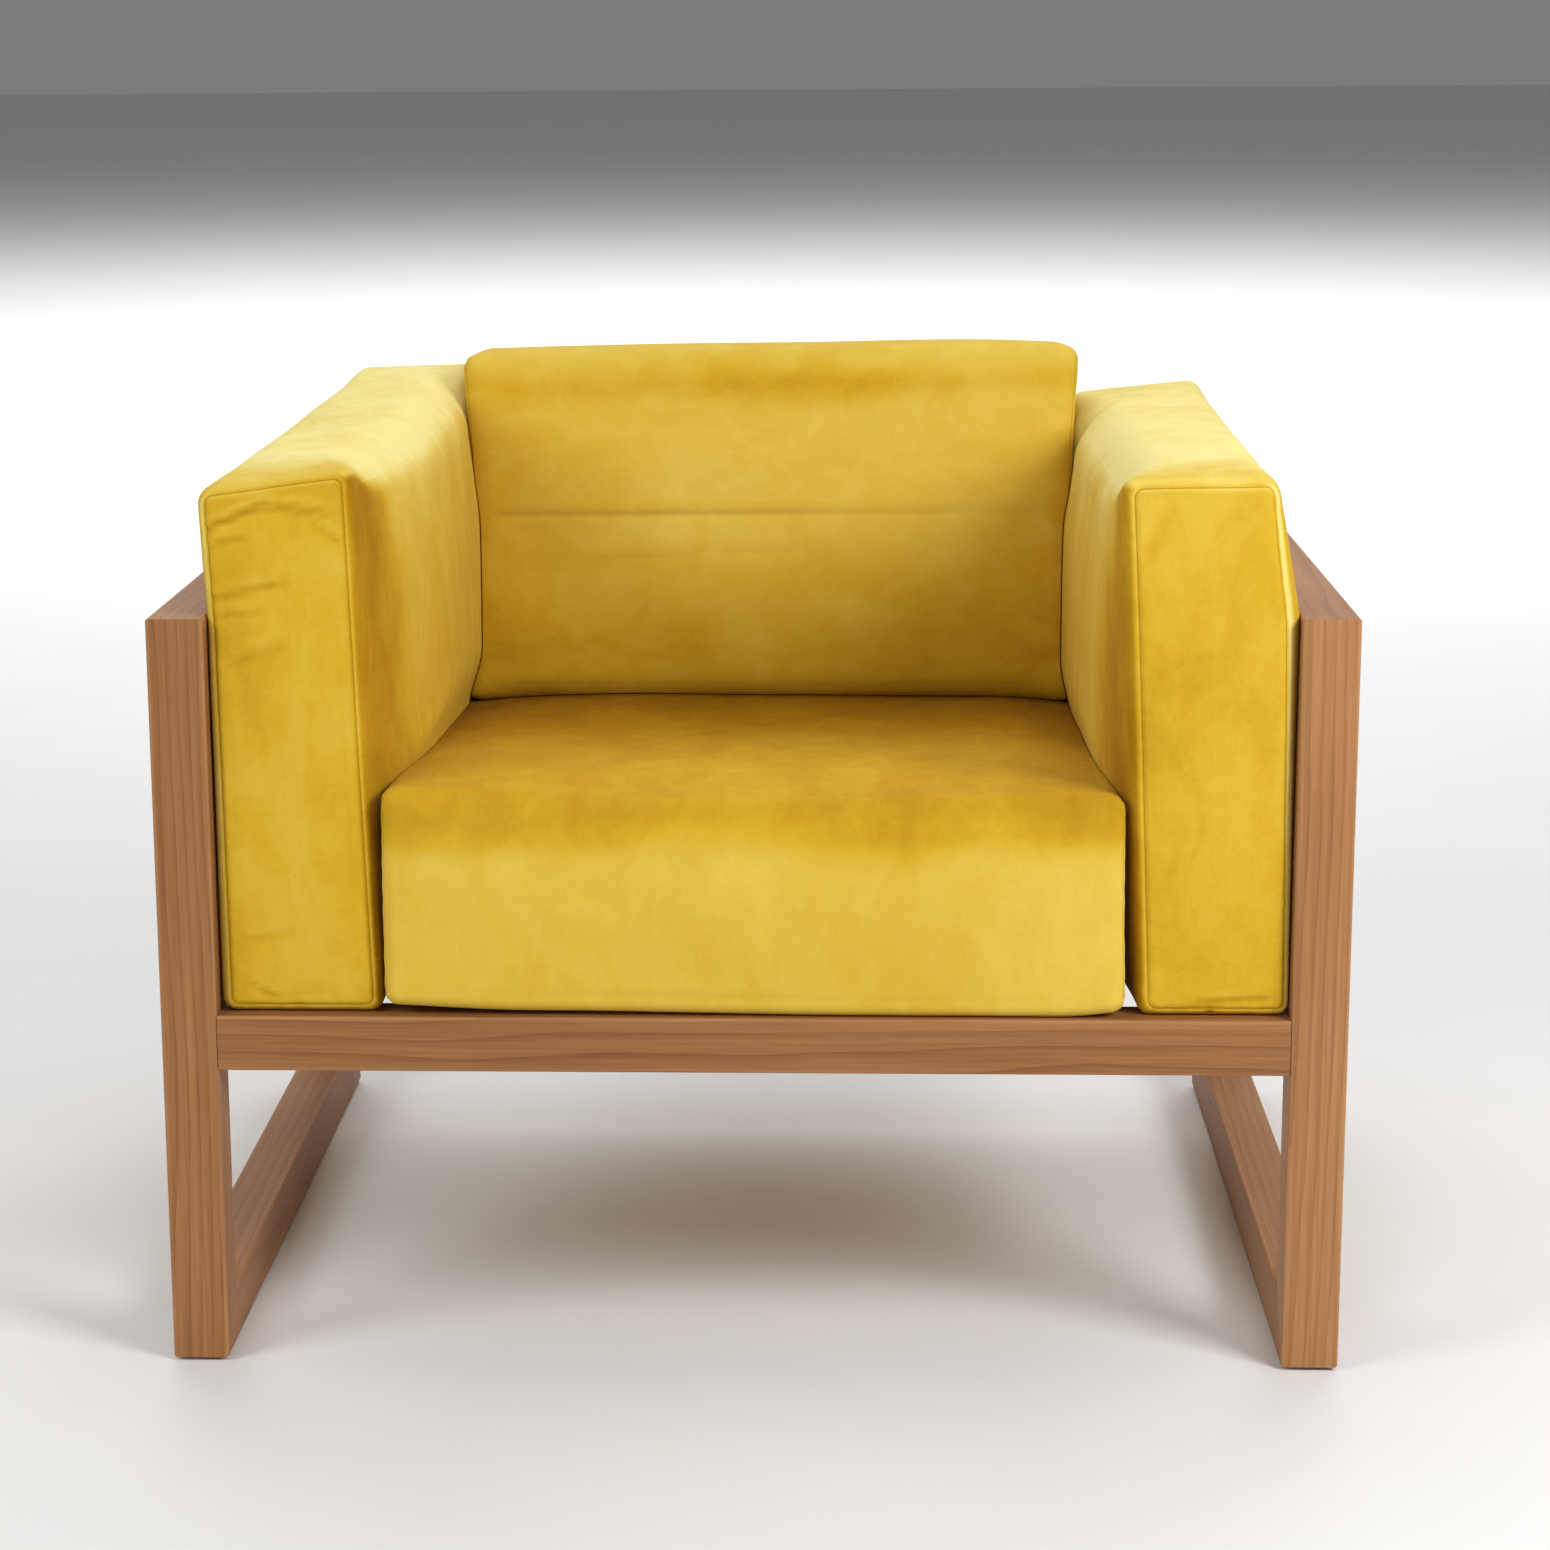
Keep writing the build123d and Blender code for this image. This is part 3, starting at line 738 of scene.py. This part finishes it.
def arm_shape(points, lattice, centre, half, side, shape, up):
    """Warps an arm cushion to its own shape in the chair, and gives the height of its top."""
    outward = 0.5 * side * points[:, 0] / half[0] + 0.5
    back = points[:, 1] / (2 * half[1]) + 0.5
    base = centre[2] - half[2]
    risen = up * 2 * half[2]

    front_inner = blend(shape["inner_low"], shape["inner_high"], up)
    above_seat = smooth((base + risen - shape["seat_line"] + 0.05 * back) / 0.06)
    behind = smooth(back * 2 * half[1] / blend(0.13, 0.35, above_seat))
    rear_inner = blend(shape["seat_side"], shape["bulge"], above_seat)
    rear_inner = rear_inner + 0.006 * smooth((back - 0.84) / 0.08)
    inner = blend(front_inner, rear_inner, behind)

    pressed = POST_FACE - KEEP_CLEAR
    outer = blend(shape["outer_low"], shape["outer_rail"], risen / (LOOP_TOP - base))
    outer = blend(np.minimum(outer, pressed), pressed, smooth((lattice[:, 1] + half[1]) / 0.022))
    over_rail = np.clip((base + risen - LOOP_TOP) / 0.105, 0, 1)
    outer = blend(outer, blend(shape["outer_high"], shape["outer_rear"], back), over_rail)

    inner_top = blend(shape["top_inner"], shape["rear_inner"], smooth(back * 1.1))
    outer_top = blend(shape["top_outer"], shape["rear_outer"], back)
    top = blend(inner_top, outer_top, outward)
    x = side * blend(inner, outer, outward)
    y = points[:, 1] + centre[1] + shape["lean"] * up * (1 - back)
    return np.stack([x, y, base + (top - base) * up], axis=-1), top


def arm_folds(points, lattice, half, side, folds):
    """Push of the folds on an arm cushion's front panel, and how deep its notch is there."""
    on_panel = smooth((-lattice[:, 1] - half[1] + 0.004) / 0.002)
    panel = points[:, [0, 2]]
    creased = np.zeros(len(points))
    for start, finish, width, depth in folds:
        creased += on_panel * fold(panel, start, finish, width, depth)
    low, high = (side * NOTCH[0], RAIL_TOP), (side * NOTCH[1], RAIL_TOP + NOTCH_HEIGHT)
    away, _ = line_distance(panel, low, high)
    return creased, on_panel * bell(away, NOTCH_WIDTH)


def arm_dent(points, side):
    """Depth of the dent that the back cushion's corner makes in an arm cushion's top."""
    (x0, y0), (x1, y1) = DENT
    away, _ = line_distance(points[:, [0, 1]], (side * x0, y0), (side * x1, y1))
    fade = smooth((0.345 - side * points[:, 0]) / 0.05) * smooth((points[:, 2] - 0.60) / 0.06)
    return DENT_DEPTH * bell(away, DENT_WIDTH) * fade


def arm_nap_and_light(points, faces, lattice, half, side, shape, up, top, seam, seed):
    """Lie of an arm cushion's pile with painted light and shade, from 0 for deep gold to 1 for
    pale.
    """
    normals = normals_of(points, faces)
    from_front = lattice[:, 1] + half[1]
    drop = top - points[:, 2] + 0.012 * waves(lattice, seed + 2, 0.12)
    facing_up = smooth(normals[:, 2] * 1.25 - 0.10)
    inward = smooth(-side * normals[:, 0])
    near_front = smooth(1.3 - (from_front + 0.025 * waves(lattice, seed + 3, 0.14)) / 0.15)
    brushed_sheen = inward * smooth(1 - drop / 0.10) * (1 - near_front)
    # Upward faces, and the upper inner face below them, painted pale: painted sheen and top light.
    nap_light_and_shade = shape["nap_panel"] + 0.46 * np.maximum(facing_up, 0.55 * brushed_sheen)
    # Inner faces painted paler, more so higher up: painted light from the lamps.
    nap_light_and_shade += inward * (shape["inner_light"] + 0.10 * up)
    # The rolled border beside the seams, on outward faces, painted paler: painted sheen on the
    # curve.
    border = smooth((seam - 0.5) / 2.0) * smooth((14.0 - seam) / 6.0)
    nap_light_and_shade += shape["border_sheen"] * border * (1 - facing_up) * smooth(side * normals[:, 0] * 2)
    # The top just behind the front seam and the inner face near the front are made darker.
    nap_light_and_shade -= 0.26 * facing_up * smooth(1 - from_front / 0.12)
    nap_light_and_shade -= 0.33 * inward * near_front * smooth(1.2 - 1.2 * facing_up)
    return nap_light_and_shade


def arm_cushion(side_name, shape, folds, seed):
    """An arm cushion: its cover wraps round the long sides, with a panel at the front and rear."""
    name = f"{side_name}_arm_cushion"
    side = -1 if side_name == "left" else 1
    centre, half = centre_and_half(f"{name}_cover")
    lattice, points, faces = stuffed(name, half, lambda box: arm_radius(box, half, side))
    seams = end_seams(lattice, half, 1, shift=shape["seam_shift"])
    points, seam = sewn(points, faces, seams, seed)
    up = points[:, 2] / (2 * half[2]) + 0.5
    points, top = arm_shape(points, lattice, centre, half, side, shape, up)

    from_end = half[1] - np.abs(lattice[:, 1])
    creased, notch = arm_folds(points, lattice, half, side, folds)
    push = 0.0007 * waves(lattice, seed, 0.30) * smooth(from_end / 0.05)
    push += creased - NOTCH_DEPTH * notch - arm_dent(points, side)
    points = points + normals_of(points, faces) * push[:, None]
    settled(points)

    nap_light_and_shade = arm_nap_and_light(points, faces, lattice, half, side, shape, up, top, seam, seed)
    # Painted shade in the fold grooves and painted highlight on their lips.
    nap_light_and_shade += np.clip(55 * creased, -0.20, 0.10)
    material = velvet(f"velvet_{side_name}_arm", (8.0, 8.0, 4.0), seed, brush=0.14)
    # The notch also gets painted shade.
    place_cushion(name, points, faces, material, seam, nap_light_and_shade, 0.6 * notch)


def seat_shape(points, half, up, back):
    """Slopes the seat cushion's top and lifts its front corners a little, left more than right."""
    left, right = -points[:, 0], points[:, 0]
    points[:, 2] -= up * back * 2 * half[1] * math.tan(SEAT_RAKE)
    front = 1 - smooth(back * 2 * half[1] / 0.09)
    left_end, right_end = smooth((left - 0.13) / 0.17), smooth((right - 0.22) / 0.08)
    lift = 0.0030 * smooth((left + 0.05) / 0.2) + 0.005 * left_end ** 2 + 0.005 * right_end ** 2
    points[:, 2] += lift * front * (1 - up)
    corner = 0.009 * smooth((left - 0.05) / 0.24) + 0.004 * smooth((right - 0.05) / 0.24)
    points[:, 2] += corner * up * smooth(1 - back * 1.1)
    points[:, 0] += (0.0015 + 0.0030 * (1 - up)) * front * (points[:, 0] > 0)


def seat_nap_and_shade(points, faces, centre, half, up, back):
    """Lie of the seat cushion's pile with painted shade and light: deep gold on top, paler down the
    front.
    """
    normals = normals_of(points, faces)
    edge = np.abs(points[:, 0]) / half[0]
    # Top darkened towards the rear and the sides: painted shade between the arms and under the back
    # cushion.
    top_nap_and_shade = 0.39 - 0.29 * smooth((back - 0.22 + 0.22 * edge ** 3) / 0.75)
    # Front face paler than the top, lighter towards the right as painted light from the nearer
    # right lamp, and a little darker low down.
    front_nap_and_light = 0.655 - 0.02 * (1 - up) + 0.05 * smooth((points[:, 0] - 0.12) / 0.15)
    drop = centre[2] + half[2] - points[:, 2] + 0.006 * waves(points, 17, 0.12)
    in_front = smooth((drop - 0.010) / 0.046 + 0.10 * waves(points, 18, 0.040))
    nap_light_and_shade = blend(top_nap_and_shade, front_nap_and_light, in_front * smooth(-normals[:, 1] * 4))
    return blend(nap_light_and_shade, 0.50, smooth(normals[:, 1] * 1.5 - 0.3))


def seat_cushion():
    """The seat cushion: one long panel rolls over the front, and side panels close the ends."""
    name = "seat_cushion"
    centre, half = centre_and_half(f"{name}_cover")

    def radius(lattice):
        roll = smooth(1 - np.hypot(lattice[:, 1] + half[1], lattice[:, 2] - half[2]) / 0.14)
        middle = smooth((half[0] - np.abs(lattice[:, 0])) / 0.06)
        return 0.011 + 0.024 * roll * middle

    lattice, points, faces = stuffed(name, half, radius)
    points, seam = sewn(points, faces, end_seams(lattice, half, 0, 0.012), 31)
    points = points + centre
    up = (points[:, 2] - centre[2] + half[2]) / (2 * half[2])
    back = (points[:, 1] - centre[1]) / (2 * half[1]) + 0.5
    seat_shape(points, half, up, back)
    push = 0.0012 * waves(lattice, 5, 0.22) * smooth(up * 3)
    points = points + normals_of(points, faces) * push[:, None]
    points[:, 2] = np.maximum(points[:, 2], RAIL_TOP + ON_RAIL)
    drawn_to_zip(points, f"{name}_zip")
    points[:, 1] = np.minimum(points[:, 1], REAR_FACE - KEEP_CLEAR)

    nap_light_and_shade = seat_nap_and_shade(points, faces, centre, half, up, back)
    between_arms(points)
    material = velvet("velvet_seat", (9.0, 4.0, 4.5), 3.0, sheen=0.03, brush=0.10)
    place_cushion(name, points, faces, material, seam, nap_light_and_shade)


BACK_HALF = np.array([0.287, 0.075, 0.1625])
# Ends of two lines on the back cushion's front, as x and height from its middle.
BACK_FOLD = ((-0.275, 0.014), (0.275, 0.017))
BACK_FAINT_FOLD = ((-0.20, -0.028), (0.08, -0.016))


def back_folds(lattice):
    """Push of the back cushion's folds, and the painted shade in them."""
    on_front = smooth((-lattice[:, 1] - BACK_HALF[1] + 0.003) / 0.002)
    face = lattice[:, [0, 2]]
    away, share = line_distance(face, *BACK_FOLD)
    fade = smooth(share / 0.04) * smooth((1 - share) / 0.04)
    shaded_crease = bell(away, 0.0016) * fade * on_front
    step = smooth((face[:, 1] - 0.015) / 0.006 + 0.5) * on_front
    away, share = line_distance(face, *BACK_FAINT_FOLD)
    faint = bell(away, 0.0022) * smooth(share / 0.2) * smooth((1 - share) / 0.2) * on_front
    return -0.0014 * shaded_crease + 0.0008 * step - 0.0007 * faint, 0.30 * shaded_crease + 0.10 * faint


def back_shape(points, centre, up):
    """Leans the back cushion, narrows it between the arms and lifts it a little to the right."""
    cos, sin = math.cos(SEAT_RAKE), math.sin(SEAT_RAKE)
    y = points[:, 1] * cos + points[:, 2] * sin + centre[1]
    z = points[:, 2] * cos - points[:, 1] * sin + centre[2]
    waist = bell(up - 0.62, 0.30)
    share = points[:, 0] / (2 * BACK_HALF[0]) + 0.5
    x = blend(0.0095 * waist - 0.2865, 0.2890 - 0.0070 * waist, share)
    return np.stack([x, y, z + up * blend(0.001, 0.007, share)], axis=-1)


def back_cushion():
    """The tall loose back cushion, leaning back square to the seat top."""
    name = "back_cushion"
    centre, _ = centre_and_half(f"{name}_cover")

    def radius(lattice):
        return 0.016 + 0.014 * smooth((BACK_HALF[0] - np.abs(lattice[:, 0])) / 0.06)

    lattice, points, faces = stuffed(name, BACK_HALF, radius)
    points, seam = sewn(points, faces, end_seams(lattice, BACK_HALF, 0, 0.014), 47)
    push, shaded_crease = back_folds(lattice)
    push = push + 0.0011 * waves(lattice, 8, 0.20)
    points = points + normals_of(points, faces) * push[:, None]
    up = points[:, 2] / (2 * BACK_HALF[2]) + 0.5
    points = back_shape(points, centre, up)
    drawn_to_zip(points, f"{name}_zip")
    points[:, 1] = np.minimum(points[:, 1], REAR_FACE - KEEP_CLEAR)

    sideways = smooth((np.abs(lattice[:, 0]) / BACK_HALF[0] - 0.55) / 0.45)
    band = bell(up - 0.91 - 0.01 * waves(lattice, 62, 0.2), 0.05)
    # Painted shade: darker towards the bottom, above the seat, and towards the sides below the top,
    # beside the arms.
    nap_light_and_shade = 0.68 - 0.22 * smooth((0.72 - up) / 0.75)
    nap_light_and_shade -= 0.05 * sideways * smooth((0.95 - up) / 0.3)
    # A darker band just below the top.
    nap_light_and_shade -= (0.16 + 0.06 * waves(lattice, 61, 0.25)) * band
    between_arms(points)
    kept_off(points, "seat_cushion", ABOVE_SEAT, (0, 0, -1))
    material = velvet("velvet_back", (5.0, 5.0, 8.0), 5.0, brush=0.15)
    place_cushion(name, points, faces, material, seam, nap_light_and_shade, shaded_crease)


LEFT_ARM = {
    "inner_low": 0.2935, "inner_high": 0.3085, "outer_low": 0.4210, "outer_rail": 0.4245,
    "outer_high": 0.4300, "outer_rear": 0.4020, "top_inner": 0.7255, "top_outer": 0.7100,
    "rear_inner": 0.7400, "rear_outer": 0.7375, "seat_line": 0.462,
    "seat_side": 0.2915, "bulge": 0.2785, "lean": 0.0, "nap_panel": 0.495, "inner_light": 0.03,
    "seam_shift": 0.0, "border_sheen": 0.32,
}
RIGHT_ARM = {
    "inner_low": 0.3055, "inner_high": 0.2855, "outer_low": 0.4245, "outer_rail": 0.4190,
    "outer_high": 0.4060, "outer_rear": 0.4120, "top_inner": 0.7160, "top_outer": 0.7190,
    "rear_inner": 0.7110, "rear_outer": 0.7240, "seat_line": 0.462,
    "seat_side": 0.2920, "bulge": 0.2835, "lean": -0.010, "nap_panel": 0.510, "inner_light": 0.07,
    "seam_shift": 0.0030, "border_sheen": 0.36,
}
LEFT_FOLDS = (
    ((-0.430, 0.676), (-0.372, 0.699), 0.0030, 0.0034),
    ((-0.424, 0.664), (-0.384, 0.676), 0.0032, 0.0022),
    ((-0.392, 0.698), (-0.315, 0.690), 0.0040, 0.0024),
    ((-0.345, 0.687), (-0.312, 0.664), 0.0040, 0.0018),
    ((-0.428, 0.622), (-0.350, 0.640), 0.0034, 0.0024),
    ((-0.424, 0.610), (-0.366, 0.618), 0.0030, 0.0018),
    ((-0.412, 0.570), (-0.352, 0.592), 0.0050, 0.0012),
    ((-0.410, 0.350), (-0.352, 0.357), 0.0040, 0.0013),
    ((-0.405, 0.318), (-0.372, 0.299), 0.0030, 0.0018),
)
RIGHT_FOLDS = (
    ((0.300, 0.650), (0.325, 0.700), 0.0060, 0.0012),
    ((0.340, 0.300), (0.420, 0.306), 0.0040, 0.0014),
)


camera()
stage()
finish_frame()
arm_cushion("left", LEFT_ARM, LEFT_FOLDS, 11)
arm_cushion("right", RIGHT_ARM, RIGHT_FOLDS, 23)
seat_cushion()
back_cushion()
